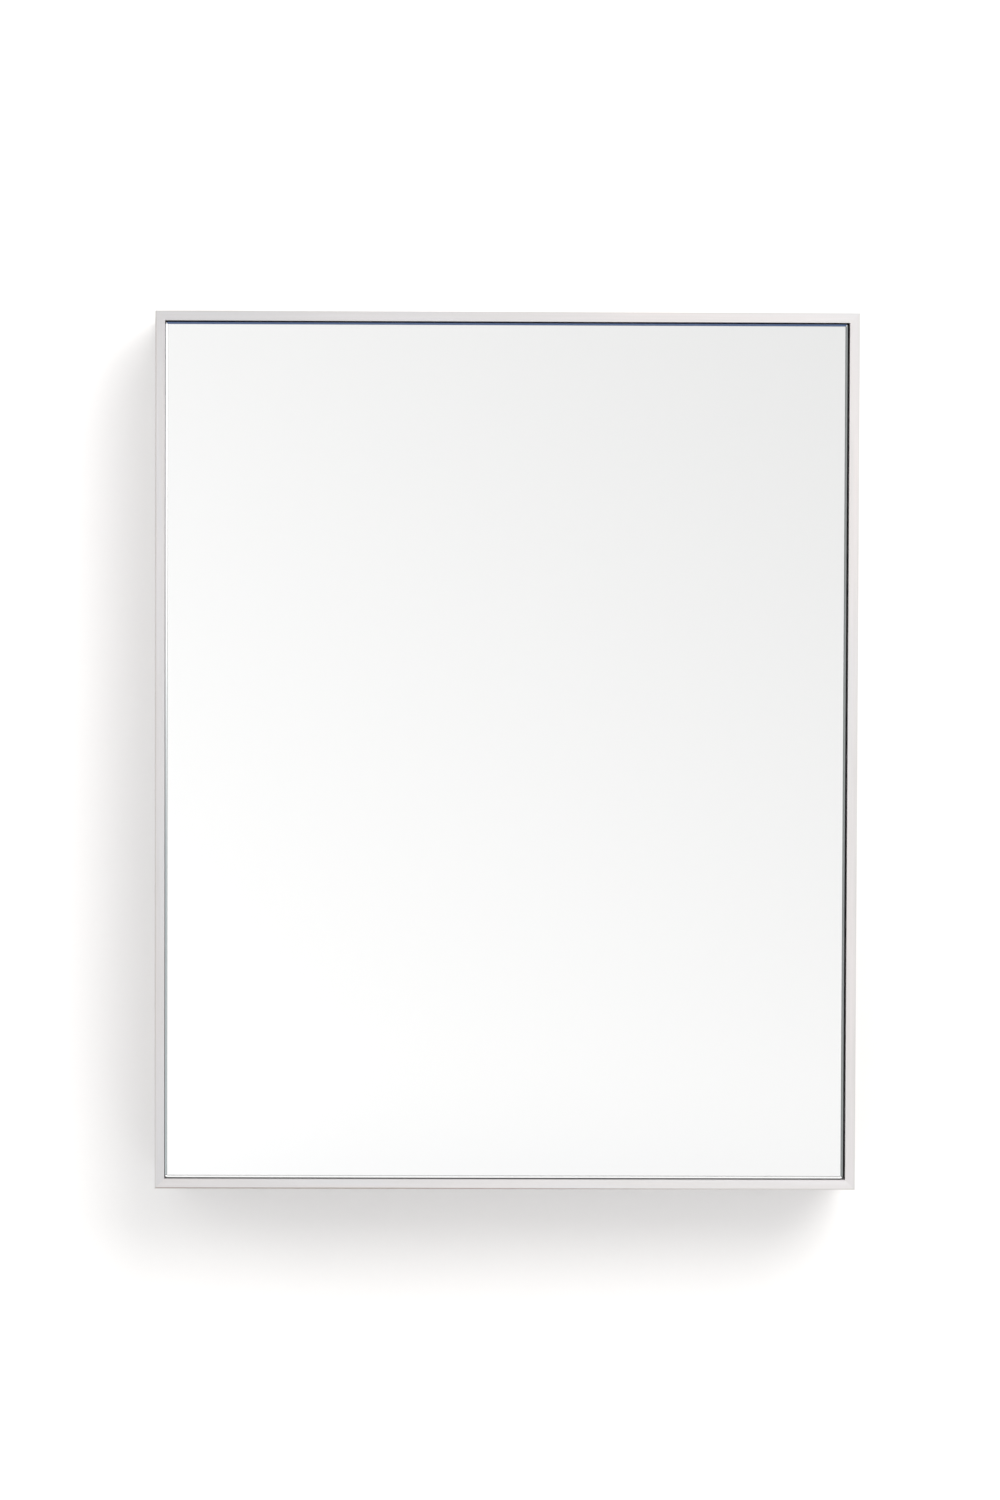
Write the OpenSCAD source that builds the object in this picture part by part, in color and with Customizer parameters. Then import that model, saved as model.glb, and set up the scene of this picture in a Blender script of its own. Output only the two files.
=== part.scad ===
// Slim wall cabinet with an inset mirror door.
// Millimetres. +X is right, +Z is up and the front faces -Y. The wall plane is y = 0.
// The origin is on the wall plane, at the centre of the four wall screw holes.
// "In" distances run backwards from the front edge of the frame towards the wall.

/* [Carcass] */
// Overall width
cabinet_w = 440; // [380:1:600]
// Overall height
cabinet_h = 550; // [480:1:800]
// Overall depth from the wall to the front edge
cabinet_d = 105; // [100:1:160]
// Thickness of the four frame boards
board_t = 12; // [11:0.5:16]
// Thickness of the front lip that surrounds the door
lip_t = 6; // [5:0.5:7]
// Depth of the rebate that the door sits in
rebate_d = 24; // [24:0.5:28]
// Thickness of the back panel
back_t = 4; // [3:0.5:5]
// Depth of the groove that holds the back panel
groove_depth = 5; // [3:0.5:6]
// Thickness of the two hanging rails
rail_t = 12; // [10:0.5:16]
// Height of the two hanging rails
rail_h = 60; // [50:1:80]

/* [Wall screws] */
// Diameter of the four wall screw holes
wall_hole_d = 5.5; // [4.5:0.5:7]
// Distance between the holes across the cabinet
wall_hole_span_x = 320; // [200:1:340]
// Distance between the holes up the cabinet
wall_hole_span_z = 460; // [440:1:470]

/* [Shelves] */
// Thickness of a shelf
shelf_t = 10; // [8:0.5:12]
// Height of each shelf's middle above or below the centre
shelf_offset = 90; // [80:1:110]
// Gap between a shelf's end and the side board
shelf_side_gap = 1.5; // [1.4:0.1:3]
// Diameter of the shelf pins
shelf_pin_d = 5; // [4:0.5:6]
// Step between the holes that a shelf can be moved to
shelf_hole_pitch = 32; // [25:1:40]

/* [Door] */
// Side that the door hangs on
hinge_side = "right"; // [left, right]
// Gap between the glass and the lip on the hinge side
hinge_gap = 1.4; // [1.4:0.1:2.5]
// Gap between the glass and the lip on the latch side
latch_gap = 0.4; // [0.3:0.1:2.5]
// Gap between the glass and the lip at the top
top_gap = 1; // [0.6:0.1:2.5]
// Gap between the glass and the lip at the bottom
bottom_gap = 0.8; // [0.6:0.1:2.5]
// How far the glass lies behind the front edge of the frame
door_recess = 1; // [0.5:0.1:1]
// Thickness of the mirror glass
glass_t = 3; // [3:0.1:4]
// Width of the polished arris round the glass
arris = 1.2; // [1:0.1:1.5]
// Thickness of the silvering and its backing paint
silvering_t = 0.1; // [0.05:0.05:0.2]
// Thickness of the mirror mounting tape
tape_t = 0.5; // [0.5:0.1:0.8]
// Thickness of the door's backing board
door_board_t = 12; // [10:0.5:12]
// Gap between the backing board and the lip at each side
board_gap_x = 4.5; // [4.5:0.5:6]
// Gap between the backing board and the lip at top and bottom
board_gap_z = 7.5; // [7.5:0.5:9]

/* [Pivot hinges] */
// Distance of the pivot axis from the hinge edge of the glass
pivot_from_edge = 14; // [14:0.5:16]
// Distance of the pivot axis behind the face of the glass
pivot_behind_glass = 6.6; // [6.4:0.1:6.8]
// Diameter of the pivot pins
pivot_pin_d = 3; // [2.5:0.5:3]
// Running clearance round a pivot pin, on the radius
pivot_clearance = 0.05; // [0.02:0.01:0.1]
// Thickness of the pivot brackets and door plates
plate_t = 2; // [1.5:0.5:2]
// Thickness of the nylon washers between plate and bracket
washer_t = 0.8; // [0.5:0.1:1]

/* [Push latch] */
// Diameter of the latch plunger
plunger_d = 9; // [8:0.5:9]
// Running clearance round the plunger, on the radius
plunger_clearance = 0.05; // [0.02:0.01:0.1]
// Length of the latch housing
latch_l = 48; // [46:1:50]
// Thickness of the strike plate
strike_t = 1.2; // [1:0.1:1.5]

/* [Hidden] */
$fn = 48;
// Clearance of fixed pieces in their holes and slots
fit_gap = 0.02;
slot_gap = 0.05;
// Overlap of a cutting tool past a face
cut = 1;

half_w = cabinet_w / 2;
half_h = cabinet_h / 2;
room_w = half_w - board_t;
room_h = half_h - board_t;
back_in = cabinet_d - rail_t - back_t;
rail_in = cabinet_d - rail_t;

// The design is drawn with the door hung on the left
glass_low = [-half_w + lip_t + hinge_gap, -half_h + lip_t + bottom_gap];
glass_high = [half_w - lip_t - latch_gap, half_h - lip_t - top_gap];
silver_in = door_recess + glass_t;
tape_in = silver_in + silvering_t;
door_board_in = tape_in + tape_t;
door_back_in = door_board_in + door_board_t;
door_board_w = cabinet_w - 2 * lip_t - 2 * board_gap_x;
door_board_h = cabinet_h - 2 * lip_t - 2 * board_gap_z;

spline_l = 50;
spline_w = 9;
spline_t = 3;
spline_in = 32;
spline_from_corner = 7;

dowel_d = 6;
dowel_l = 22;
dowel_in_side = 8;
dowel_spread = 18;
rail_mid_z = room_h - rail_h / 2;

shelf_in = rebate_d + 1;
shelf_back_gap = 0.5;
pin_ins = [38, 76];
pin_in_board = 8;
pin_collar_t = 1.2;
pin_collar_d = shelf_pin_d + 2;
pin_peg_l = 8;
pin_drop = shelf_t / 2 + shelf_pin_d / 2;

pivot_x = glass_low[0] + pivot_from_edge;
pivot_in = door_recess + pivot_behind_glass;
pivot_plate_z = door_board_h / 2;
washer_z = pivot_plate_z + plate_t;
washer_d = 6;
bracket_z = washer_z + washer_t + 0.1;
bracket_eye_r = 3.1;
bracket_foot = [11.5, 27.5];
bracket_riser_in = 21;
bracket_foot_end_in = 44;
bracket_screw_x = pivot_x + 19.5;
bracket_screw_ins = [30, 39];
pivot_plate_x = [-8.5, 26];
pivot_plate_inset = 0.6;
plate_screw_xs = [9, 20];
plate_screw_in = door_board_in + door_board_t / 2;
pin_seat = 6;
pin_proud = 1;

latch_in = rebate_d;
latch_x = room_w - 8.5;
latch_half_w = 8;
latch_end_wall = 2;
latch_ear_t = 3;
latch_ear_w = 16;
latch_ear_h = 40;
latch_screw_z = 14.5;
latch_screw_in = latch_in + latch_l / 2;
magnet_d = 7;
magnet_t = 3;
magnet_gap = 0.1;
magnet_proud = 0.3;
magnet_in = door_back_in + strike_t + magnet_gap;
plunger_in = magnet_in + magnet_proud;
plunger_end_in = 54;
spring_turns = 8;
spring_r = 3.2;
spring_wire_r = 0.4;
strike_w = 14;
strike_h = 32;
strike_screw_z = 11;

stop_w = 12;
stop_h = 20;
stop_z = 215;
stop_end_in = 42;
stop_screw_in = 33;
buffer_d = 8;
buffer_t = 1.5;
buffer_gap = 0.1;
buffer_in = door_back_in + buffer_gap;
stop_in = buffer_in + buffer_t;
stop_x = room_w - stop_w;

wood_screw_d = 3;
wood_screw_head_d = 5.6;

// ---------------------------------------------------------------- helpers

// y of a distance measured in from the front edge of the frame
function y_in(d) = d - cabinet_d;

// Box from its lowest to its highest corner
module box(low, high) {
  translate(low) cube(high - low);
}

// Round bar between two distances in, along the depth
module bar_in(x, z, from_in, to_in, r) {
  translate([x, y_in(from_in), z])
    rotate([-90, 0, 0])
      cylinder(h = to_in - from_in, r = r);
}

// Countersunk wood screw: head face at z = 0, tip at z = length
module wood_screw(length) {
  head_h = (wood_screw_head_d - wood_screw_d) / 2;
  tip_h = 2.5;
  slot_w = 0.7;
  slot_l = 3;
  slot_depth = 0.9;
  difference() {
    union() {
      cylinder(h = head_h, r1 = wood_screw_head_d / 2, r2 = wood_screw_d / 2);
      translate([0, 0, head_h]) cylinder(h = length - head_h - tip_h, r = wood_screw_d / 2);
      translate([0, 0, length - tip_h]) cylinder(h = tip_h, r1 = wood_screw_d / 2, r2 = 0.3);
    }
    for (turn = [0, 90])
      rotate([0, 0, turn])
        box([-slot_l / 2, -slot_w / 2, -cut], [slot_l / 2, slot_w / 2, slot_depth]);
  }
}

// Hole for a wood screw, with its countersink, along z from the head face
module wood_screw_hole(length) {
  head_h = (wood_screw_head_d - wood_screw_d) / 2;
  r = wood_screw_d / 2 + fit_gap;
  head_r = wood_screw_head_d / 2 + fit_gap;
  translate([0, 0, -fit_gap]) cylinder(h = head_h + fit_gap, r1 = head_r, r2 = r);
  translate([0, 0, -cut]) cylinder(h = length + cut + slot_gap, r = r);
}

// Puts the hinges on the side that they are wanted on
module handed() {
  if (hinge_side == "right") mirror([1, 0, 0]) children();
  else children();
}

// The same piece at the top and at the bottom
module at_end(end) {
  if (end > 0) children();
  else mirror([0, 0, 1]) children();
}

// ---------------------------------------------------------------- carcass

// Cross-section of a frame board: x from the outer face, y from the front edge
module board_profile() {
  inner = board_t - groove_depth;
  groove_start = back_in - slot_gap;
  groove_end = rail_in + slot_gap;
  polygon([
    [0, 0], [lip_t, 0], [lip_t, rebate_d], [board_t, rebate_d],
    [board_t, groove_start], [inner, groove_start],
    [inner, groove_end], [board_t, groove_end],
    [board_t, cabinet_d], [0, cabinet_d]
  ]);
}

// Board on the left of a frame, its outer face at x = -reach, mitred at both ends
module mitred_board(reach, length) {
  intersection() {
    translate([-reach, -cabinet_d, -length / 2])
      linear_extrude(length) board_profile();
    rotate([90, 0, 0])
      translate([0, 0, -cut])
        linear_extrude(cabinet_d + 2 * cut)
          polygon([
            [-reach, -length / 2], [-reach, length / 2],
            [-reach + board_t, length / 2 - board_t],
            [-reach + board_t, -length / 2 + board_t]
          ]);
  }
}

module spline(gap) {
  for (sx = [-1, 1])
    for (sz = [-1, 1])
      translate([sx * (half_w - spline_from_corner), 0, sz * (half_h - spline_from_corner)])
        rotate([0, 45 * sx * sz, 0])
          box(
            [-spline_w / 2 - gap, y_in(spline_in) - gap, -spline_t / 2 - gap],
            [spline_w / 2 + gap, y_in(spline_in + spline_l) + gap, spline_t / 2 + gap]
          );
}

module dowels(gap) {
  for (sx = [-1, 1])
    for (sz = [-1, 1])
      for (step = [-1, 1])
        translate([sx * (room_w + dowel_in_side), y_in(rail_in + rail_t / 2), sz * rail_mid_z + step * dowel_spread])
          rotate([0, -90 * sx, 0])
            translate([0, 0, -gap])
              cylinder(h = dowel_l + 2 * gap, r = dowel_d / 2 + gap);
}

module shelf_pin_holes() {
  for (sx = [-1, 1])
    for (shelf = [-1, 1])
      for (step = [-1, 0, 1])
        for (pin_in = pin_ins)
          translate([
            sx * (room_w - cut), y_in(pin_in),
            shelf * shelf_offset - pin_drop + step * shelf_hole_pitch
          ])
            rotate([0, 90 * sx, 0])
              cylinder(h = pin_in_board + cut, r = shelf_pin_d / 2 + fit_gap);
}

module side_cuts() {
  spline(slot_gap);
  dowels(fit_gap);
  shelf_pin_holes();
}

module hinge_side_board() {
  color("gainsboro")
    difference() {
      mitred_board(half_w, cabinet_h);
      side_cuts();
    }
}

module latch_side_board() {
  color("gainsboro")
    difference() {
      rotate([0, 180, 0]) mitred_board(half_w, cabinet_h);
      side_cuts();
      stop_screw_set() wood_screw_hole(18);
      latch_screw_set() wood_screw_hole(11);
    }
}

module side_left() {
  if (hinge_side == "right") latch_side_board();
  else hinge_side_board();
}

module side_right() {
  if (hinge_side == "right") hinge_side_board();
  else latch_side_board();
}

module top_board() {
  color("gainsboro")
    difference() {
      rotate([0, 90, 0]) mitred_board(half_h, cabinet_w);
      spline(slot_gap);
      bracket_screw_set(1) wood_screw_hole(11);
    }
}

module bottom_board() {
  color("gainsboro")
    difference() {
      rotate([0, -90, 0]) mitred_board(half_h, cabinet_w);
      spline(slot_gap);
      bracket_screw_set(-1) wood_screw_hole(11);
    }
}

module mitre_splines() {
  color("burlywood") spline(0);
}

module wall_holes() {
  for (sx = [-1, 1])
    for (sz = [-1, 1])
      bar_in(
        sx * wall_hole_span_x / 2, sz * wall_hole_span_z / 2,
        back_in - cut, cabinet_d + cut, wall_hole_d / 2
      );
}

module back_panel() {
  reach = groove_depth - 0.3;
  color("whitesmoke")
    difference() {
      box(
        [-room_w - reach, y_in(back_in), -room_h - reach],
        [room_w + reach, y_in(rail_in), room_h + reach]
      );
      wall_holes();
    }
}

module hanging_rail(end) {
  color("burlywood")
    difference() {
      at_end(end)
        box([-room_w, y_in(rail_in), room_h - rail_h], [room_w, 0, room_h]);
      wall_holes();
      dowels(fit_gap);
    }
}

module hanging_rail_top() { hanging_rail(1); }

module hanging_rail_bottom() { hanging_rail(-1); }

module rail_dowels() {
  color("burlywood") dowels(0);
}

// ---------------------------------------------------------------- shelves

module shelf(z) {
  color("whitesmoke")
    box(
      [-room_w + shelf_side_gap, y_in(shelf_in), z - shelf_t / 2],
      [room_w - shelf_side_gap, y_in(back_in - shelf_back_gap), z + shelf_t / 2]
    );
}

module shelf_pins(z) {
  color("silver")
    for (sx = [-1, 1])
      for (pin_in = pin_ins)
        translate([sx * room_w, y_in(pin_in), z - pin_drop])
          rotate([0, -90 * sx, 0])
            union() {
              translate([0, 0, -pin_in_board]) cylinder(h = pin_in_board + pin_peg_l, r = shelf_pin_d / 2);
              cylinder(h = pin_collar_t, r = pin_collar_d / 2);
            }
}

module shelf_upper() { shelf(shelf_offset); }

module shelf_lower() { shelf(-shelf_offset); }

module shelf_pins_upper() { shelf_pins(shelf_offset); }

module shelf_pins_lower() { shelf_pins(-shelf_offset); }

// ---------------------------------------------------------------- pivot hinges

// Cranked bracket: an eye above the door's end, a riser and a foot under the frame board
module pivot_bracket(end) {
  eye_half = 2.6;
  arm_back = bracket_riser_in + plate_t - pivot_in;
  color("lightsteelblue")
    at_end(end)
      difference() {
        union() {
          translate([pivot_x, y_in(pivot_in), bracket_z])
            linear_extrude(plate_t) {
              circle(r = bracket_eye_r);
              polygon([
                [0, -eye_half], [20, -eye_half], [bracket_foot[1], 5],
                [bracket_foot[1], arm_back], [bracket_foot[0], arm_back], [-1.9, 1.9]
              ]);
            }
          box(
            [pivot_x + bracket_foot[0], y_in(bracket_riser_in), room_h - plate_t],
            [pivot_x + bracket_foot[1], y_in(bracket_riser_in + plate_t), bracket_z + plate_t]
          );
          box(
            [pivot_x + bracket_foot[0], y_in(bracket_riser_in), room_h - plate_t],
            [pivot_x + bracket_foot[1], y_in(bracket_foot_end_in), room_h]
          );
        }
        translate([pivot_x, y_in(pivot_in), bracket_z - cut])
          cylinder(h = plate_t + 2 * cut, r = pivot_pin_d / 2 + pivot_clearance);
        bracket_screw_set(1) wood_screw_hole(11);
      }
}

module bracket_screw_set(end) {
  at_end(end)
    for (screw_in = bracket_screw_ins)
      translate([bracket_screw_x, y_in(screw_in), room_h - plate_t]) children();
}

// Plate on the end of the door's backing board, which carries the pin
module pivot_plate(end) {
  color("lightsteelblue")
    at_end(end)
      difference() {
        box(
          [pivot_x + pivot_plate_x[0], y_in(door_board_in + pivot_plate_inset), pivot_plate_z],
          [pivot_x + pivot_plate_x[1], y_in(door_back_in - pivot_plate_inset), pivot_plate_z + plate_t]
        );
        pin_hole();
        plate_screw_set(1) wood_screw_hole(18);
      }
}

module plate_screw_set(end) {
  at_end(end)
    for (dx = plate_screw_xs)
      translate([pivot_x + dx, y_in(plate_screw_in), pivot_plate_z + plate_t])
        mirror([0, 0, 1]) children();
}

module pin_hole() {
  translate([pivot_x, y_in(pivot_in), pivot_plate_z - pin_seat - fit_gap])
    cylinder(h = pin_seat + plate_t + cut, r = pivot_pin_d / 2 + fit_gap);
}

module pivot_pin(end) {
  top = bracket_z + plate_t + pin_proud;
  nose = 0.5;
  color("silver")
    at_end(end)
      translate([pivot_x, y_in(pivot_in), 0]) {
        translate([0, 0, pivot_plate_z - pin_seat])
          cylinder(h = top - nose - pivot_plate_z + pin_seat, r = pivot_pin_d / 2);
        translate([0, 0, top - nose])
          cylinder(h = nose, r1 = pivot_pin_d / 2, r2 = pivot_pin_d / 2 - nose);
      }
}

module pivot_washer(end) {
  color("ivory")
    at_end(end)
      translate([pivot_x, y_in(pivot_in), washer_z])
        difference() {
          cylinder(h = washer_t, r = washer_d / 2);
          translate([0, 0, -cut]) cylinder(h = washer_t + 2 * cut, r = pivot_pin_d / 2 + slot_gap);
        }
}

module pivot_bracket_upper() { pivot_bracket(1); }

module pivot_bracket_lower() { pivot_bracket(-1); }

module bracket_screws() {
  color("silver")
    for (end = [-1, 1])
      bracket_screw_set(end) wood_screw(11);
}

module pivot_plate_upper() { pivot_plate(1); }

module pivot_plate_lower() { pivot_plate(-1); }

module plate_screws() {
  color("silver")
    for (end = [-1, 1])
      plate_screw_set(end) wood_screw(18);
}

module pivot_pin_upper() { pivot_pin(1); }

module pivot_pin_lower() { pivot_pin(-1); }

module pivot_washer_upper() { pivot_washer(1); }

module pivot_washer_lower() { pivot_washer(-1); }

// ---------------------------------------------------------------- door stops

module stop_screw_set() {
  for (sz = [-1, 1])
    translate([stop_x, y_in(stop_screw_in), sz * stop_z])
      rotate([0, 90, 0]) children();
}

module stop_blocks() {
  color("whitesmoke")
    difference() {
      for (sz = [-1, 1])
        box(
          [stop_x, y_in(stop_in), sz * stop_z - stop_h / 2],
          [room_w, y_in(stop_end_in), sz * stop_z + stop_h / 2]
        );
      stop_screw_set() wood_screw_hole(18);
    }
}

module stop_screws() {
  color("silver")
    stop_screw_set() wood_screw(18);
}

module door_buffers() {
  dome = 0.7;
  color("gainsboro")
    for (sz = [-1, 1])
      translate([stop_x + stop_w / 2, y_in(stop_in), sz * stop_z])
        rotate([90, 0, 0]) {
          cylinder(h = buffer_t - dome, r = buffer_d / 2);
          translate([0, 0, buffer_t - dome])
            cylinder(h = dome, r1 = buffer_d / 2, r2 = buffer_d / 2 - dome);
        }
}

// ---------------------------------------------------------------- push latch

module latch_screw_set() {
  for (sz = [-1, 1])
    translate([room_w - latch_ear_t, y_in(latch_screw_in), sz * latch_screw_z])
      rotate([0, 90, 0]) children();
}

module latch_housing() {
  low_x = latch_x - latch_half_w;
  bevel = 2;
  color("white")
    difference() {
      union() {
        translate([0, y_in(latch_in + latch_l), 0])
          rotate([90, 0, 0])
            linear_extrude(latch_l)
              polygon([
                [room_w, -latch_half_w], [room_w, latch_half_w],
                [low_x + bevel, latch_half_w], [low_x, latch_half_w - bevel],
                [low_x, -latch_half_w + bevel], [low_x + bevel, -latch_half_w]
              ]);
        box(
          [room_w - latch_ear_t, y_in(latch_screw_in - latch_ear_w / 2), -latch_ear_h / 2],
          [room_w, y_in(latch_screw_in + latch_ear_w / 2), latch_ear_h / 2]
        );
      }
      bar_in(
        latch_x, 0, latch_in - cut, latch_in + latch_l - latch_end_wall,
        plunger_d / 2 + plunger_clearance
      );
      latch_screw_set() wood_screw_hole(11);
    }
}

// One ring of the spring's wire at an angle along the coil
function spring_ring(angle, pitch, sides) = [
  for (k = [0 : sides - 1])
    let (turn = 360 * k / sides, out = spring_r + spring_wire_r * cos(turn))
      [out * cos(angle), out * sin(angle), pitch * angle / 360 + spring_wire_r * sin(turn)]
];

module latch_spring() {
  sides = 8;
  steps_per_turn = 14;
  steps = spring_turns * steps_per_turn;
  start_in = plunger_end_in + spring_wire_r;
  length = latch_in + latch_l - latch_end_wall - plunger_end_in - 2 * spring_wire_r - slot_gap;
  pitch = length / spring_turns;
  rings = [for (i = [0 : steps]) spring_ring(360 * i / steps_per_turn, pitch, sides)];
  walls = [
    for (i = [0 : steps - 1])
      for (k = [0 : sides - 1])
        let (a = i * sides + k, b = i * sides + (k + 1) % sides)
          for (face = [[a, a + sides, b], [b, a + sides, b + sides]]) face
  ];
  first_cap = [for (k = [0 : sides - 1]) k];
  last_cap = [for (k = [sides - 1 : -1 : 0]) steps * sides + k];
  color("silver")
    translate([latch_x, y_in(start_in), 0])
      rotate([-90, 0, 0])
        polyhedron([for (ring = rings) for (p = ring) p], concat(walls, [first_cap, last_cap]));
}

module latch_screws() {
  color("silver")
    latch_screw_set() wood_screw(11);
}

module latch_plunger() {
  color("lightgray")
    difference() {
      bar_in(latch_x, 0, plunger_in, plunger_end_in, plunger_d / 2);
      bar_in(latch_x, 0, plunger_in - cut, magnet_in + magnet_t + fit_gap, magnet_d / 2 + fit_gap);
    }
}

module latch_magnet() {
  color("dimgray")
    bar_in(latch_x, 0, magnet_in, magnet_in + magnet_t, magnet_d / 2);
}

module strike_screw_set() {
  for (sz = [-1, 1])
    translate([latch_x, y_in(door_back_in + strike_t), sz * strike_screw_z])
      rotate([90, 0, 0]) children();
}

module strike_plate() {
  color("silver")
    difference() {
      box(
        [latch_x - strike_w / 2, y_in(door_back_in), -strike_h / 2],
        [latch_x + strike_w / 2, y_in(door_back_in + strike_t), strike_h / 2]
      );
      strike_screw_set() wood_screw_hole(9);
    }
}

module strike_screws() {
  color("silver")
    strike_screw_set() wood_screw(9);
}

// ---------------------------------------------------------------- door

module door_panel() {
  color("whitesmoke")
    difference() {
      box(
        [-door_board_w / 2, y_in(door_board_in), -door_board_h / 2],
        [door_board_w / 2, y_in(door_back_in), door_board_h / 2]
      );
      for (end = [-1, 1]) {
        at_end(end) pin_hole();
        plate_screw_set(end) wood_screw_hole(18);
      }
      strike_screw_set() wood_screw_hole(9);
    }
}

module mirror_tape() {
  strips = 4;
  strip_w = 20;
  strip_h = 470;
  spread = 115;
  color("white")
    for (i = [0 : strips - 1])
      let (x = (i - (strips - 1) / 2) * spread)
        box(
          [x - strip_w / 2, y_in(tape_in), -strip_h / 2],
          [x + strip_w / 2, y_in(door_board_in), strip_h / 2]
        );
}

module mirror_silvering() {
  color("slategray")
    box(
      [glass_low[0], y_in(silver_in), glass_low[1]],
      [glass_high[0], y_in(tape_in), glass_high[1]]
    );
}

// Outline of the glass across one of its spans, with the arris on the front
module glass_outline(low, high) {
  polygon([
    [low, silver_in], [high, silver_in],
    [high, door_recess + arris], [high - arris, door_recess],
    [low + arris, door_recess], [low, door_recess + arris]
  ]);
}

module mirror_glass() {
  color("aliceblue")
    translate([0, -cabinet_d, 0])
      intersection() {
        translate([0, 0, glass_low[1]])
          linear_extrude(glass_high[1] - glass_low[1]) glass_outline(glass_low[0], glass_high[0]);
        rotate([0, 90, 0])
          translate([0, 0, glass_low[0]])
            linear_extrude(glass_high[0] - glass_low[0]) glass_outline(-glass_high[1], -glass_low[1]);
      }
}

// ---------------------------------------------------------------- all pieces

handed() side_left();
handed() side_right();
handed() top_board();
handed() bottom_board();
handed() mitre_splines();
handed() back_panel();
handed() hanging_rail_top();
handed() hanging_rail_bottom();
handed() rail_dowels();
handed() shelf_upper();
handed() shelf_lower();
handed() shelf_pins_upper();
handed() shelf_pins_lower();
handed() pivot_bracket_upper();
handed() pivot_bracket_lower();
handed() bracket_screws();
handed() stop_blocks();
handed() stop_screws();
handed() door_buffers();
handed() latch_housing();
handed() latch_spring();
handed() latch_screws();
handed() latch_plunger();
handed() latch_magnet();
handed() door_panel();
handed() mirror_tape();
handed() mirror_silvering();
handed() mirror_glass();
handed() pivot_plate_upper();
handed() pivot_plate_lower();
handed() plate_screws();
handed() pivot_pin_upper();
handed() pivot_pin_lower();
handed() pivot_washer_upper();
handed() pivot_washer_lower();
handed() strike_plate();
handed() strike_screws();
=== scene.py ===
import math

import bmesh
import bpy
from mathutils import Euler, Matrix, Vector


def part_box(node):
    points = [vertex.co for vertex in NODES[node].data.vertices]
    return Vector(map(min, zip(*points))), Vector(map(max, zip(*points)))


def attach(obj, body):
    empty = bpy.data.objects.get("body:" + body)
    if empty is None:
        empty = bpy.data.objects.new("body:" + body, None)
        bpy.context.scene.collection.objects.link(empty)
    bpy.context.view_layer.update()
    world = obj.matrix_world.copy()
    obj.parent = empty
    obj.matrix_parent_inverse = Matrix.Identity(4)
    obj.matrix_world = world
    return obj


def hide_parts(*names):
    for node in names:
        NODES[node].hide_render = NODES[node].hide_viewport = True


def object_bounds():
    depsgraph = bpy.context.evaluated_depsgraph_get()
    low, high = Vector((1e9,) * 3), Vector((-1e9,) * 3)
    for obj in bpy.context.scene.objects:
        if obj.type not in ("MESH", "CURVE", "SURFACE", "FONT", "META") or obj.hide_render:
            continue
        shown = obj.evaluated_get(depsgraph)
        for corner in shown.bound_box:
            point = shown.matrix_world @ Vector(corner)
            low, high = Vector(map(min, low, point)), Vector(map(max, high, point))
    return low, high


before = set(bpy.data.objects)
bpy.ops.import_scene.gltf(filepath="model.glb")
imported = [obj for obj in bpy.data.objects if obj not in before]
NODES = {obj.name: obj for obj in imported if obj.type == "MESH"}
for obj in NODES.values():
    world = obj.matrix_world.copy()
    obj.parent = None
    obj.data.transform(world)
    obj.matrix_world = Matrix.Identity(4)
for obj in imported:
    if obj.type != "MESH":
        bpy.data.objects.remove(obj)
cad_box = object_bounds()

MM = 0.001
INNER_PAINT = (0.70, 0.697, 0.69)


# ---------------------------------------------------------------- helpers

def add_mesh(name, mesh, material):
    """A new object of one material in the scene."""
    mesh.materials.append(material)
    made = bpy.data.objects.new(name, mesh)
    bpy.context.scene.collection.objects.link(made)
    return made


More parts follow.
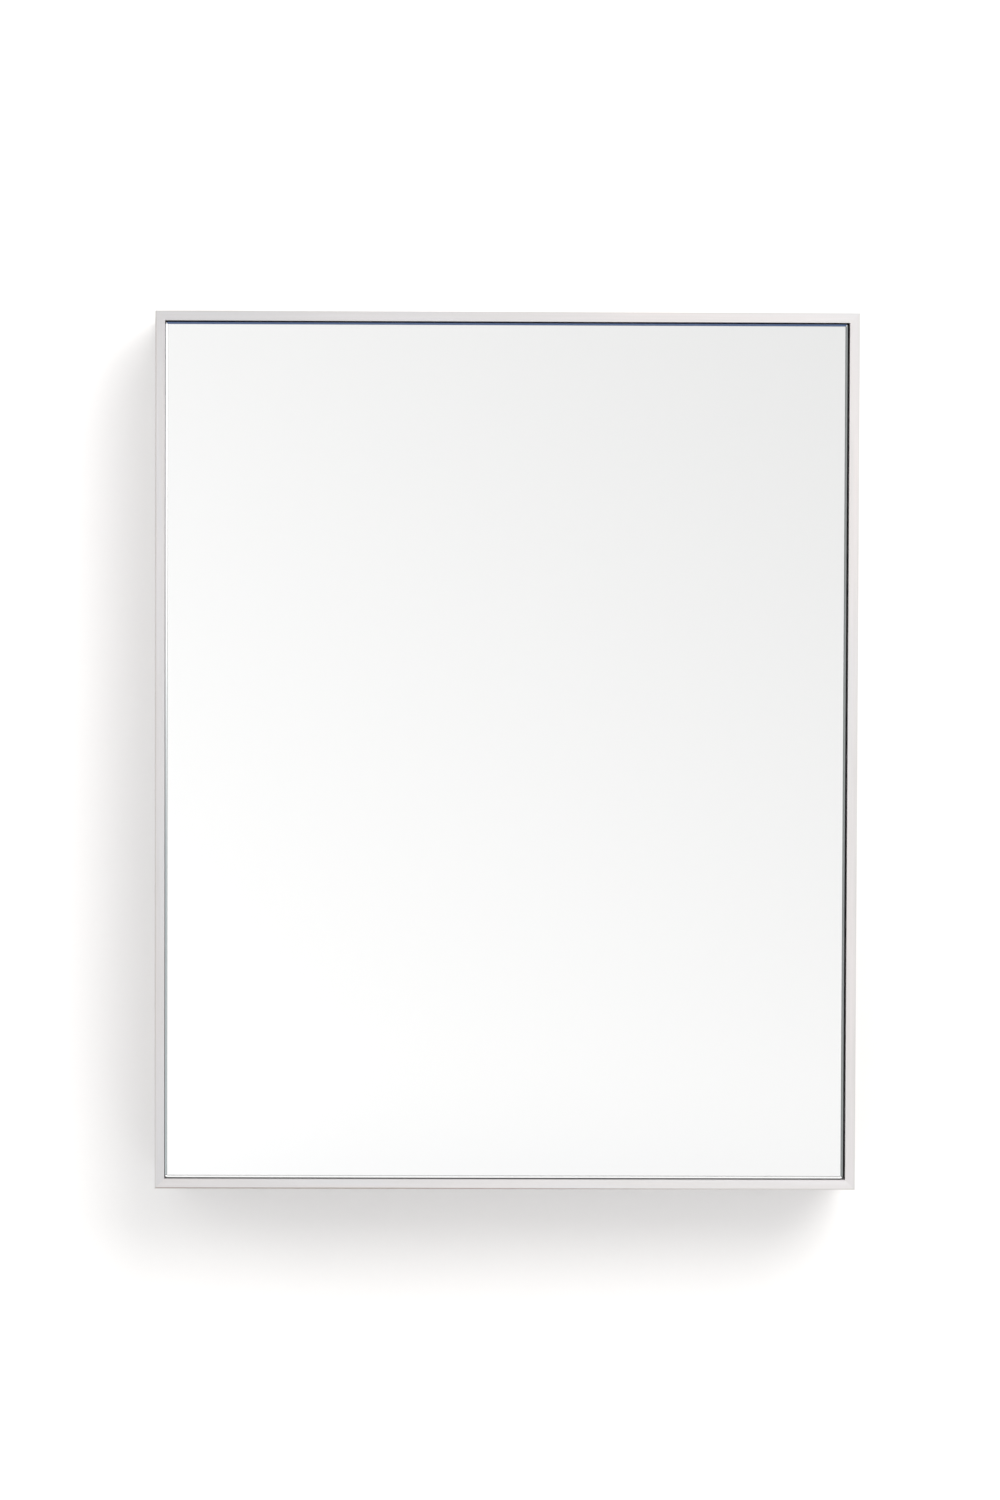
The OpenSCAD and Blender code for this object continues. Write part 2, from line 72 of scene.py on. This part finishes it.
class Shader:
    """A material under construction: its node tree, with short calls for the nodes used here."""

    def __init__(self, name):
        self.mat = bpy.data.materials.new(name)
        self.mat.use_nodes = True
        self.tree = self.mat.node_tree
        self.bsdf = self.tree.nodes["Principled BSDF"]
        self.out = self.tree.nodes["Material Output"]

    def node(self, kind, **props):
        """A new node with its properties set."""
        made = self.tree.nodes.new(kind)
        for key, value in props.items():
            setattr(made, key, value)
        return made

    def link(self, source, target):
        self.tree.links.new(source, target)

    def set(self, **values):
        """Sets plain values on the Principled shader, an underscore standing for a space."""
        for key, value in values.items():
            self.bsdf.inputs[key.replace("_", " ")].default_value = value

    def coords(self, scale=(1, 1, 1), offset=(0, 0, 0)):
        """The piece's own coordinates in metres, stretched."""
        mapping = self.node("ShaderNodeMapping")
        mapping.inputs["Scale"].default_value = scale
        mapping.inputs["Location"].default_value = offset
        self.link(self.node("ShaderNodeTexCoord").outputs["Object"], mapping.inputs["Vector"])
        return mapping.outputs["Vector"]

    def noise(self, vector, scale, detail, roughness):
        """Cloudy 0 to 1 values."""
        tex = self.node("ShaderNodeTexNoise")
        self.link(vector, tex.inputs["Vector"])
        tex.inputs["Scale"].default_value = scale
        tex.inputs["Detail"].default_value = detail
        tex.inputs["Roughness"].default_value = roughness
        return tex.outputs["Fac"]

    def span(self, value, low, high, to_low=0.0, to_high=1.0):
        """Maps low..high to to_low..to_high, held at both ends."""
        node = self.node("ShaderNodeMapRange")
        self.link(value, node.inputs["Value"])
        node.inputs["From Min"].default_value = low
        node.inputs["From Max"].default_value = high
        node.inputs["To Min"].default_value = to_low
        node.inputs["To Max"].default_value = to_high
        return node.outputs["Result"]

    def maths(self, kind, a, b):
        node = self.node("ShaderNodeMath", operation=kind)
        for socket, value in zip(node.inputs, (a, b)):
            if isinstance(value, (int, float)):
                socket.default_value = value
            else:
                self.link(value, socket)
        return node.outputs["Value"]

    def mix(self, factor, a, b):
        """Blend of two colours, each a tuple or a socket."""
        node = self.node("ShaderNodeMix", data_type="RGBA")
        self.link(factor, node.inputs["Factor"])
        for name, value in (("A", a), ("B", b)):
            socket = next(s for s in node.inputs if s.name == name and s.type == "RGBA")
            if isinstance(value, tuple):
                socket.default_value = (*value, 1.0)
            else:
                self.link(value, socket)
        return next(s for s in node.outputs if s.type == "RGBA")

    def scaled(self, colour, factor):
        """A colour made darker or lighter by a factor."""
        node = self.node("ShaderNodeVectorMath", operation="SCALE")
        self.link(colour, node.inputs["Vector"])
        self.link(factor, node.inputs["Scale"])
        return node.outputs["Vector"]

    def place(self, axis):
        """Where a point is along an axis, in metres."""
        split = self.node("ShaderNodeSeparateXYZ")
        self.link(self.node("ShaderNodeTexCoord").outputs["Object"], split.inputs["Vector"])
        return split.outputs[axis]

    def bump(self, height, distance):
        """Relief from a 0 to 1 height, its full depth in metres."""
        node = self.node("ShaderNodeBump")
        node.inputs["Distance"].default_value = distance
        self.link(height, node.inputs["Height"])
        self.link(node.outputs["Normal"], self.bsdf.inputs["Normal"])

    def colour(self, socket):
        self.link(socket, self.bsdf.inputs["Base Color"])

    def roughness(self, socket):
        self.link(socket, self.bsdf.inputs["Roughness"])

    def facing(self, axis, low, high):
        """0 to 1 as the piece's own normal along an axis goes from low to high."""
        split = self.node("ShaderNodeSeparateXYZ")
        self.link(self.node("ShaderNodeTexCoord").outputs["Normal"], split.inputs["Vector"])
        return self.span(split.outputs[axis], low, high)


# ---------------------------------------------------------------- materials

def stretch(axis, across, along):
    """Texture scale for a grain that runs along an axis."""
    return tuple(along if name == axis else across for name in "XYZ")


def pigmented_wood(name, axis, offset, painted_light_drift, edge, painted_edge_shade):
    """Fine wood under a thin pale pigment: faint warm and cool streaks along the board.

    drift is painted light and shade: the board gets lighter towards the softbox at the right and darker
    towards the upper left over its length, given as (from, to, tone there, tone here), in metres.
    The outer front edge carries painted shade, a warm dark line that fades out about 1 mm in.
    edge is where that edge is: (axis, place, a millimetre inwards).
    wear is how dark that painted shade gets, from 0 to 1: (from, to, wear there, wear here) along the board;
    it is strongest on the left and bottom boards, which face away from the softbox.
    """
    s = Shader(name)
    broad = s.noise(s.coords(stretch(axis, 1.0, 0.03), offset), 260, 4.0, 0.6)
    fine = s.noise(s.coords(stretch(axis, 1.0, 0.02), offset), 1500, 3.0, 0.6)
    tint = s.noise(s.coords(stretch(axis, 1.0, 0.12), offset), 45, 2.0, 0.5)
    cool = (0.532, 0.530, 0.542)
    warm = (0.568, 0.537, 0.531)
    base = s.mix(s.span(tint, 0.35, 0.65), cool, warm)
    streak = s.mix(s.span(broad, 0.34, 0.62), (0.518, 0.503, 0.498), base)
    grain = s.mix(s.span(fine, 0.52, 0.72, 0.0, 0.35), streak, (0.590, 0.573, 0.569))
    # Painted light and shade: the tone along the board stands in for the softbox's fall-off, lighter to the
    # right and darker to the upper left.
    grain_with_painted_light = s.scaled(grain, s.span(s.place(axis), *painted_light_drift))
    across, outer, inwards = edge
    # Painted shade: a mask for the outer front edge, where the edge faces away from the softbox.
    near_side = s.span(s.place(across), outer + 0.9 * inwards, outer + 0.35 * inwards)
    near_front = s.span(s.place("Y"), FRONT_Y + 1.2 * MM, FRONT_Y + 0.6 * MM)
    edge_shade_mask = s.maths("MULTIPLY", s.maths("MULTIPLY", near_side, near_front), s.span(s.place(axis), *painted_edge_shade))
    # The painted edge shade is mixed in here as a warm dark brown.
    s.colour(s.mix(edge_shade_mask, grain_with_painted_light, (0.235, 0.19, 0.165)))
    s.roughness(s.span(broad, 0.3, 0.7, 0.50, 0.40))
    s.bump(s.maths("ADD", s.maths("MULTIPLY", broad, 0.5), s.maths("MULTIPLY", fine, 0.5)), 0.06 * MM)
    s.set(Specular_IOR_Level=0.45)
    return s.mat


def painted_board(name, tone, offset):
    """Sprayed white paint with a faint orange peel and a few dust nibs."""
    s = Shader(name)
    peel = s.noise(s.coords((1, 1, 1), offset), 700, 2.0, 0.45)
    cloud = s.noise(s.coords((1, 1, 1), offset), 14, 3.0, 0.5)
    nibs = s.noise(s.coords((1, 1, 1), offset), 2600, 1.0, 0.4)
    shade = tuple(0.955 * c for c in tone)
    s.colour(s.mix(s.span(cloud, 0.3, 0.7), shade, tone))
    s.roughness(s.span(peel, 0.3, 0.7, 0.36, 0.48))
    nib_height = s.span(nibs, 0.74, 0.8, 0.0, 0.6)
    s.bump(s.maths("ADD", peel, nib_height), 0.035 * MM)
    return s.mat


def hardboard(name):
    """Back panel: white on its inner face, raw brown fibre on the side towards the wall and the edges."""
    s = Shader(name)
    fibre = s.noise(s.coords((1, 1, 0.35)), 900, 5.0, 0.7)
    blotch = s.noise(s.coords(), 60, 4.0, 0.6)
    raw = s.mix(s.span(blotch, 0.3, 0.7), (0.235, 0.135, 0.07), (0.33, 0.20, 0.11))
    raw = s.mix(s.span(fibre, 0.5, 0.75, 0.0, 0.55), raw, (0.46, 0.31, 0.19))
    paint = s.mix(s.span(blotch, 0.3, 0.7), (0.665, 0.662, 0.655), INNER_PAINT)
    is_raw = s.facing("Y", -0.9, -0.6)
    s.colour(s.mix(is_raw, paint, raw))
    s.roughness(s.span(is_raw, 0.0, 1.0, 0.42, 0.78))
    s.bump(fibre, 0.05 * MM)
    return s.mat


def bare_wood(name, axis, pale, dark, ring_scale, offset):
    """Planed wood: year rings as long wavy bands, with fine pores along the grain."""
    s = Shader(name)
    along = s.coords(stretch(axis, 1.0, 0.06), offset)
    wobble = s.noise(along, 30, 3.0, 0.5)
    rings = s.node("ShaderNodeTexWave", wave_type="BANDS", bands_direction="Z", wave_profile="SAW")
    s.link(along, rings.inputs["Vector"])
    rings.inputs["Scale"].default_value = ring_scale
    rings.inputs["Distortion"].default_value = 2.6
    rings.inputs["Detail"].default_value = 2.0
    rings.inputs["Detail Scale"].default_value = 1.2
    pores = s.noise(s.coords(stretch(axis, 1.0, 0.02), offset), 2200, 3.0, 0.6)
    band = s.maths("MULTIPLY", rings.outputs["Fac"], s.span(wobble, 0.3, 0.7, 0.55, 1.0))
    wood = s.mix(s.span(band, 0.25, 1.0), pale, dark)
    s.colour(s.mix(s.span(pores, 0.55, 0.75, 0.0, 0.5), wood, tuple(0.75 * c for c in dark)))
    s.roughness(s.span(pores, 0.3, 0.7, 0.55, 0.7))
    s.bump(pores, 0.05 * MM)
    return s.mat


def plated_steel(name, tint, rough, brushed=None):
    """Bright plating: fine speckle, cloudy sheen and, where it was rolled, a brushed grain."""
    s = Shader(name)
    speckle = s.noise(s.coords(), 1800, 3.0, 0.6)
    cloud = s.noise(s.coords(), 160, 3.0, 0.5)
    dull = tuple(0.86 * c for c in tint)
    s.colour(s.mix(s.span(cloud, 0.3, 0.7), dull, tint))
    s.roughness(s.span(cloud, 0.3, 0.7, rough - 0.05, rough + 0.08))
    height = speckle
    if brushed:
        height = s.noise(s.coords(stretch(brushed, 1.0, 0.03)), 5000, 2.0, 0.5)
    s.bump(height, 0.012 * MM)
    s.set(Metallic=1.0)
    return s.mat


def moulded_plastic(name, tone, rough):
    """Moulded plastic with a fine spark-eroded grain."""
    s = Shader(name)
    grain = s.noise(s.coords(), 3200, 2.0, 0.5)
    cloud = s.noise(s.coords(), 90, 2.0, 0.5)
    s.colour(s.mix(s.span(cloud, 0.3, 0.7), tuple(0.95 * c for c in tone), tone))
    s.roughness(s.span(grain, 0.3, 0.7, rough - 0.06, rough + 0.08))
    s.bump(grain, 0.02 * MM)
    return s.mat


def soft_bumper(name):
    """Milky soft buffer that lets some light through."""
    s = Shader(name)
    cloud = s.noise(s.coords(), 500, 2.0, 0.5)
    s.colour(s.mix(s.span(cloud, 0.3, 0.7), (0.78, 0.79, 0.785), (0.84, 0.845, 0.84)))
    s.roughness(s.span(cloud, 0.3, 0.7, 0.28, 0.4))
    s.set(Subsurface_Weight=0.4, Subsurface_Scale=1.5 * MM, Subsurface_Radius=(1.0, 1.0, 1.0))
    return s.mat


def foam_tape(name):
    """Closed-cell foam tape, cut at its edges."""
    s = Shader(name)
    cells = s.node("ShaderNodeTexVoronoi")
    s.link(s.coords(), cells.inputs["Vector"])
    cells.inputs["Scale"].default_value = 3500
    s.colour(s.mix(s.span(cells.outputs["Distance"], 0.1, 0.6), (0.60, 0.60, 0.59), (0.83, 0.83, 0.82)))
    s.bump(cells.outputs["Distance"], 0.08 * MM)
    s.set(Roughness=0.85)
    return s.mat


def float_glass(name):
    """Clear float glass, faintly green through its edges."""
    s = Shader(name)
    s.set(Base_Color=(1.0, 1.0, 1.0, 1.0), Roughness=0.0, IOR=1.52, Transmission_Weight=1.0)
    absorb = s.node("ShaderNodeVolumeAbsorption")
    absorb.inputs["Color"].default_value = (0.45, 0.80, 0.72, 1.0)
    absorb.inputs["Density"].default_value = 3.0
    s.link(absorb.outputs["Volume"], s.out.inputs["Volume"])
    return s.mat


def silver_coat(name):
    """Silver seen through the glass, and the grey backing paint on every other side."""
    s = Shader(name)
    speckle = s.noise(s.coords(), 1400, 3.0, 0.6)
    paint = s.mix(s.span(speckle, 0.35, 0.65), (0.15, 0.165, 0.18), (0.20, 0.215, 0.23))
    is_paint = s.facing("Y", -0.9, -0.6)
    s.colour(s.mix(is_paint, (0.962, 0.960, 0.960), paint))
    s.roughness(s.span(is_paint, 0.0, 1.0, 0.0, 0.55))
    s.link(s.span(is_paint, 0.0, 1.0, 1.0, 0.0), s.bsdf.inputs["Metallic"])
    return s.mat


def ferrite(name):
    """Dark sintered magnet."""
    s = Shader(name)
    grain = s.noise(s.coords(), 4000, 4.0, 0.7)
    s.colour(s.mix(s.span(grain, 0.35, 0.65), (0.035, 0.035, 0.038), (0.08, 0.08, 0.083)))
    s.roughness(s.span(grain, 0.3, 0.7, 0.4, 0.62))
    s.bump(grain, 0.03 * MM)
    s.set(Metallic=0.6)
    return s.mat


# ---------------------------------------------------------------- studio

CABINET_LOW, CABINET_HIGH = cad_box
FRONT_Y = CABINET_LOW.y

# The camera: its place from the middle of the cabinet's front in metres, its turns in degrees, its lens in mm
CAMERA_DISTANCE = 3.7
CAMERA_RIGHT = -0.0505
CAMERA_UP = 0.1618
CAMERA_DOWN_TILT = 2.486
CAMERA_ROLL = -0.200
CAMERA_PAN = -0.711
CAMERA_LENS = 141.9

# The softbox
KEY_PLACE = (0.74, -2.0, 1.08)
KEY_SIZE = 1.6
KEY_POWER = 30.8
KEY_COLOUR = (1.0, 0.985, 0.965)

# The room: its white, and the dark parts that only show in the glass's edge.
# A part has a direction, the cosines at which it starts and is whole, and a colour.
FRONT = (0.0, -1.0, 0.0)
LEFT = (-1.0, 0.0, 0.0)
UPPER_RIGHT = (0.694, 0.0, 0.720)
BRIGHT_PART = (0.475, -0.86, 0.16)
ROOM_WHITE = (1.0, 0.998, 0.995)
DARK_PARTS = (
    ((0.0, -0.89, -0.45), 0.93, 0.985, (0.06, 0.09, 0.17)),
    ((-0.45, -0.89, 0.0), 0.93, 0.985, (0.16, 0.17, 0.17)),
    ((0.475, -0.86, -0.16), 0.985, 0.994, (0.50, 0.55, 0.56)),
)

# Wall and floor
FLOOR_Z = -1.35
FLOOR_NEAR_Y = -1.6
STAGE_HALF_W = 4.0
WALL_TOP_Z = 3.0
WALL_CLEARANCE = 0.3 * MM
WALL_OVERLAP = 0.1 * MM


def make_camera():
    data = bpy.data.cameras.new("camera")
    data.lens = CAMERA_LENS
    data.clip_end = 50
    camera = bpy.data.objects.new("camera", data)
    camera.location = (CAMERA_RIGHT, FRONT_Y - CAMERA_DISTANCE, CAMERA_UP)
    turns = (90 - CAMERA_DOWN_TILT, CAMERA_ROLL, CAMERA_PAN)
    camera.rotation_euler = Euler([math.radians(turn) for turn in turns], "XYZ")
    bpy.context.scene.collection.objects.link(camera)
    bpy.context.scene.camera = camera


def make_world():
    """White room light, stronger from the left, with a grey backdrop that the mirror shows.

    The backdrop darkens to the upper right. DARK_PARTS and one brighter part only show in the glass's edge.
    """
    world = bpy.data.worlds.new("room")
    bpy.context.scene.world = world
    world.use_nodes = True
    tree = world.node_tree
    background = tree.nodes["Background"]
    direction = tree.nodes.new("ShaderNodeTexCoord").outputs["Generated"]

    def slope(vector, low, high, to_low, to_high):
        """Smooth step of the direction's share along a vector."""
        dot = tree.nodes.new("ShaderNodeVectorMath")
        dot.operation = "DOT_PRODUCT"
        dot.inputs[1].default_value = Vector(vector).normalized()
        tree.links.new(direction, dot.inputs[0])
        ease = tree.nodes.new("ShaderNodeMapRange")
        ease.interpolation_type = "SMOOTHSTEP"
        tree.links.new(dot.outputs["Value"], ease.inputs["Value"])
        for name, value in zip(("From Min", "From Max", "To Min", "To Max"), (low, high, to_low, to_high)):
            ease.inputs[name].default_value = value
        return ease.outputs["Result"]

    def maths(kind, a, b):
        node = tree.nodes.new("ShaderNodeMath")
        node.operation = kind
        tree.links.new(a, node.inputs[0])
        tree.links.new(b, node.inputs[1])
        return node.outputs["Value"]

    def blend(factor, a, b):
        """From a, a colour or a socket, to the colour b."""
        mix = tree.nodes.new("ShaderNodeMixRGB")
        tree.links.new(factor, mix.inputs["Fac"])
        mix.inputs["Color2"].default_value = (*b, 1.0)
        if isinstance(a, tuple):
            mix.inputs["Color1"].default_value = (*a, 1.0)
        else:
            tree.links.new(a, mix.inputs["Color1"])
        return mix.outputs["Color"]

    across = slope(UPPER_RIGHT, -0.22, 0.20, 0.977, 0.639)
    ahead = slope(FRONT, 0.2, 0.9, 0.80, 1.66)
    backdrop = slope(FRONT, 0.955, 0.985, 1.0, 0.72)
    glint = slope(BRIGHT_PART, 0.972, 0.985, 1.0, 1.5)
    room = maths("MULTIPLY", maths("MULTIPLY", across, ahead), maths("MULTIPLY", backdrop, glint))
    window = slope(LEFT, 0.0, 0.9, 0.0, 0.69)
    tree.links.new(maths("ADD", room, window), background.inputs["Strength"])
    colour = ROOM_WHITE
    for towards, start, whole, dark in DARK_PARTS:
        colour = blend(slope(towards, start, whole, 0.0, 1.0), colour, dark)
    tree.links.new(colour, background.inputs["Color"])


def make_key_light():
    """Softbox to the upper right, which throws the soft shadow to the lower left."""
    data = bpy.data.lights.new("softbox", "AREA")
    data.shape = "DISK"
    data.size = KEY_SIZE
    data.energy = KEY_POWER
    data.color = KEY_COLOUR
    light = bpy.data.objects.new("softbox", data)
    light.location = KEY_PLACE
    light.visible_camera = False
    light.visible_glossy = False
    light.visible_transmission = False
    aim = Vector((0, FRONT_Y, 0)) - light.location
    light.rotation_mode = "QUATERNION"
    light.rotation_quaternion = aim.to_track_quat("-Z", "Y")
    bpy.context.scene.collection.objects.link(light)


def stage_plane(name, corners, faces, material):
    mesh = bpy.data.meshes.new(name)
    mesh.from_pydata(corners, [], faces)
    add_mesh(name, mesh, material)


def plaster(name, tone, one_sided):
    """Smooth matt wall paint. A one-sided wall can't be seen from behind."""
    s = Shader(name)
    roller = s.noise(s.coords(), 350, 3.0, 0.5)
    s.colour(s.mix(s.span(roller, 0.3, 0.7), tuple(0.995 * c for c in tone), tone))
    s.set(Roughness=0.9, Specular_IOR_Level=0.1)
    if one_sided:
        clear = s.node("ShaderNodeBsdfTransparent")
        choose = s.node("ShaderNodeMixShader")
        s.link(s.node("ShaderNodeNewGeometry").outputs["Backfacing"], choose.inputs["Fac"])
        s.link(s.bsdf.outputs["BSDF"], choose.inputs[1])
        s.link(clear.outputs["BSDF"], choose.inputs[2])
        s.link(choose.outputs["Shader"], s.out.inputs["Surface"])
    return s.mat


def make_stage():
    """Wall and floor. The wall is open behind the cabinet, so that the cabinet's back has light too."""
    wall_y = CABINET_HIGH.y + WALL_CLEARANCE
    half = STAGE_HALF_W
    left, right = CABINET_LOW.x + WALL_OVERLAP, CABINET_HIGH.x - WALL_OVERLAP
    low, high = CABINET_LOW.z + WALL_OVERLAP, CABINET_HIGH.z - WALL_OVERLAP
    outline = [(-half, FLOOR_Z), (half, FLOOR_Z), (half, WALL_TOP_Z), (-half, WALL_TOP_Z)]
    opening = [(left, low), (right, low), (right, high), (left, high)]
    wall = [(x, wall_y, z) for x, z in outline + opening]
    sides = [(i, (i + 1) % 4, 4 + (i + 1) % 4, 4 + i) for i in range(4)]
    stage_plane("wall", wall, sides, plaster("wall_paint", (0.905, 0.896, 0.887), True))
    ends = ((-half, FLOOR_NEAR_Y), (half, FLOOR_NEAR_Y), (half, half), (-half, half))
    floor = [(x, y, FLOOR_Z) for x, y in ends]
    stage_plane("floor", floor, [(0, 1, 2, 3)], plaster("floor_paint", (0.80, 0.80, 0.80), False))


# ---------------------------------------------------------------- the CAD pieces

WELD_REACH = 0.001 * MM
SHARP_DEGREES = 30


def soften(node, width, segments=3):
    """Takes the sharpness off a CAD piece's edges, without moving its faces."""
    piece = NODES[node]
    weld = piece.modifiers.new("weld", "WELD")
    weld.merge_threshold = WELD_REACH
    bevel = piece.modifiers.new("bevel", "BEVEL")
    bevel.width = width
    bevel.segments = segments
    bevel.limit_method = "ANGLE"
    bevel.angle_limit = math.radians(SHARP_DEGREES)
    bevel.harden_normals = True
    bevel.use_clamp_overlap = True


def dress(material, *nodes):
    """Gives CAD pieces one material."""
    for node in nodes:
        mesh = NODES[node].data
        mesh.materials.clear()
        mesh.materials.append(material)


# Each frame board: its grain axis, and the drift, edge and wear that pigmented_wood asks for; drift is
# painted light and shade (lighter towards the softbox at the right), and wear is painted shade on the outer
# front edge, strongest on the left and bottom boards.
FRAME_BOARDS = {
    "side_left": ("Z", (0.21, 0.27, 0.960, 0.865), ("X", CABINET_LOW.x, MM), (-0.27, -0.20, 0.15, 0.38)),
    "side_right": ("Z", (0.06, 0.16, 1.030, 1.012), ("X", CABINET_HIGH.x, -MM), (-0.2, 0.2, 0.08, 0.08)),
    "top_board": ("X", (-0.18, 0.18, 0.875, 1.040), ("Z", CABINET_HIGH.z, -MM), (-0.2, 0.2, 0.08, 0.08)),
    "bottom_board": ("X", (-0.20, 0.10, 1.00, 1.115), ("Z", CABINET_LOW.z, MM), (-0.02, 0.18, 0.95, 0.35)),
}


def dress_carcass():
    for i, (board, (axis, painted_light_drift, edge, painted_edge_shade)) in enumerate(FRAME_BOARDS.items()):
        offset = (0.31 * i, 0.17 * i, 0.23 * i)
        dress(pigmented_wood("pigmented_" + board, axis, offset, painted_light_drift, edge, painted_edge_shade), board)
        soften(board, 0.5 * MM)
    dress(hardboard("hardboard"), "back_panel")
    pine = bare_wood("pine", "X", (0.60, 0.41, 0.22), (0.40, 0.235, 0.105), 75, (0, 0, 0.3))
    dress(pine, "hanging_rail_top", "hanging_rail_bottom")
    beech = bare_wood("beech", "Y", (0.55, 0.36, 0.20), (0.42, 0.25, 0.13), 260, (0.2, 0, 0))
    dress(beech, "mitre_splines", "rail_dowels")
    for rail in ("hanging_rail_top", "hanging_rail_bottom"):
        soften(rail, 0.4 * MM)
    for i, shelf in enumerate(("shelf_upper", "shelf_lower")):
        dress(painted_board("paint_" + shelf, INNER_PAINT, (0.4 * i, 0.1, 0)), shelf)
        soften(shelf, 0.6 * MM)
    dress(painted_board("paint_stops", (0.69, 0.687, 0.68), (0, 0.2, 0.5)), "stop_blocks")
    soften("stop_blocks", 0.5 * MM)


def dress_hardware():
    nickel = plated_steel("nickel", (0.66, 0.64, 0.61), 0.24)
    zinc = plated_steel("zinc", (0.62, 0.635, 0.66), 0.34, brushed="X")
    dress(zinc, "pivot_bracket_upper", "pivot_bracket_lower", "pivot_plate_upper", "pivot_plate_lower")
    dress(
        nickel, "shelf_pins_upper", "shelf_pins_lower", "bracket_screws", "stop_screws", "latch_screws",
        "plate_screws", "strike_screws", "strike_plate", "latch_spring",
    )
    dress(plated_steel("ground_pin", (0.70, 0.70, 0.71), 0.14), "pivot_pin_upper", "pivot_pin_lower")
    dress(moulded_plastic("nylon", (0.78, 0.765, 0.70), 0.42), "pivot_washer_upper", "pivot_washer_lower")
    dress(moulded_plastic("latch_white", (0.72, 0.72, 0.715), 0.44), "latch_housing")
    dress(moulded_plastic("latch_grey", (0.36, 0.37, 0.38), 0.38), "latch_plunger")
    dress(ferrite("ferrite"), "latch_magnet")
    dress(soft_bumper("bumper"), "door_buffers")
    for bracket in ("pivot_bracket_upper", "pivot_bracket_lower"):
        soften(bracket, 0.25 * MM, 2)
    for plate in ("pivot_plate_upper", "pivot_plate_lower", "strike_plate"):
        soften(plate, 0.2 * MM, 2)
    soften("latch_housing", 0.4 * MM, 2)


def dress_door():
    dress(painted_board("paint_door", INNER_PAINT, (0.7, 0.3, 0)), "door_panel")
    soften("door_panel", 0.6 * MM)
    dress(foam_tape("foam_tape"), "mirror_tape")


# ---------------------------------------------------------------- the mirror

GLASS_CORNER = 1.5 * MM  # radius of the sheet's corners
LEAST_CORNER = 0.1 * MM
CORNER_STEPS = 10
ARRIS = 1.2 * MM  # width and depth of the polished slope round the front
SEAM = 0.15 * MM  # the same round the back, and the silver's distance from the edge
SILVER_BITE = 0.02 * MM  # how far the glass reaches into the silver, so that no two faces coincide


def rounded_loop(low, high, inset, y):
    """Points round a rectangle with round corners, drawn in from a box's outline, in the plane at depth y."""
    radius = max(GLASS_CORNER - inset, LEAST_CORNER)
    reach = inset + radius
    corners = (
        (high.x - reach, high.z - reach), (low.x + reach, high.z - reach),
        (low.x + reach, low.z + reach), (high.x - reach, low.z + reach),
    )
    loop = []
    for quarter, (x, z) in enumerate(corners):
        for step in range(CORNER_STEPS + 1):
            turn = math.radians(90 * (quarter + step / CORNER_STEPS))
            loop.append((x + radius * math.cos(turn), y, z + radius * math.sin(turn)))
    return loop


def rounded_slab(name, node, insets, material):
    """A sheet in the place of a CAD node: insets are (distance in from its outline, depth from its front)."""
    low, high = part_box(node)
    bm = bmesh.new()
    rings = [
        [bm.verts.new(point) for point in rounded_loop(low, high, inset, low.y + depth)]
        for inset, depth in insets
    ]
    count = len(rings[0])
    for front, back in zip(rings, rings[1:]):
        for i in range(count):
            j = (i + 1) % count
            bm.faces.new((front[i], front[j], back[j], back[i]))
    bm.faces.new(list(reversed(rings[0])))
    bm.faces.new(rings[-1])
    bmesh.ops.recalc_face_normals(bm, faces=bm.faces)
    mesh = bpy.data.meshes.new(name)
    bm.to_mesh(mesh)
    bm.free()
    slab = add_mesh(name, mesh, material)
    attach(slab, "door")
    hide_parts(node)
    return slab


def make_mirror():
    low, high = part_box("mirror_glass")
    thick = high.y - low.y
    glass = rounded_slab(
        "mirror_sheet", "mirror_glass",
        [(ARRIS, 0), (0, ARRIS), (0, thick - SEAM), (SEAM, thick + SILVER_BITE)],
        float_glass("float_glass"),
    )
    low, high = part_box("mirror_silvering")
    coat = rounded_slab(
        "silver_backing", "mirror_silvering",
        [(SEAM, 0), (SEAM, high.y - low.y)],
        silver_coat("silver_coat"),
    )


# ---------------------------------------------------------------- scene

make_camera()
make_world()
make_key_light()
make_stage()
dress_carcass()
dress_hardware()
dress_door()
make_mirror()
bpy.context.scene.view_settings.view_transform = "Standard"
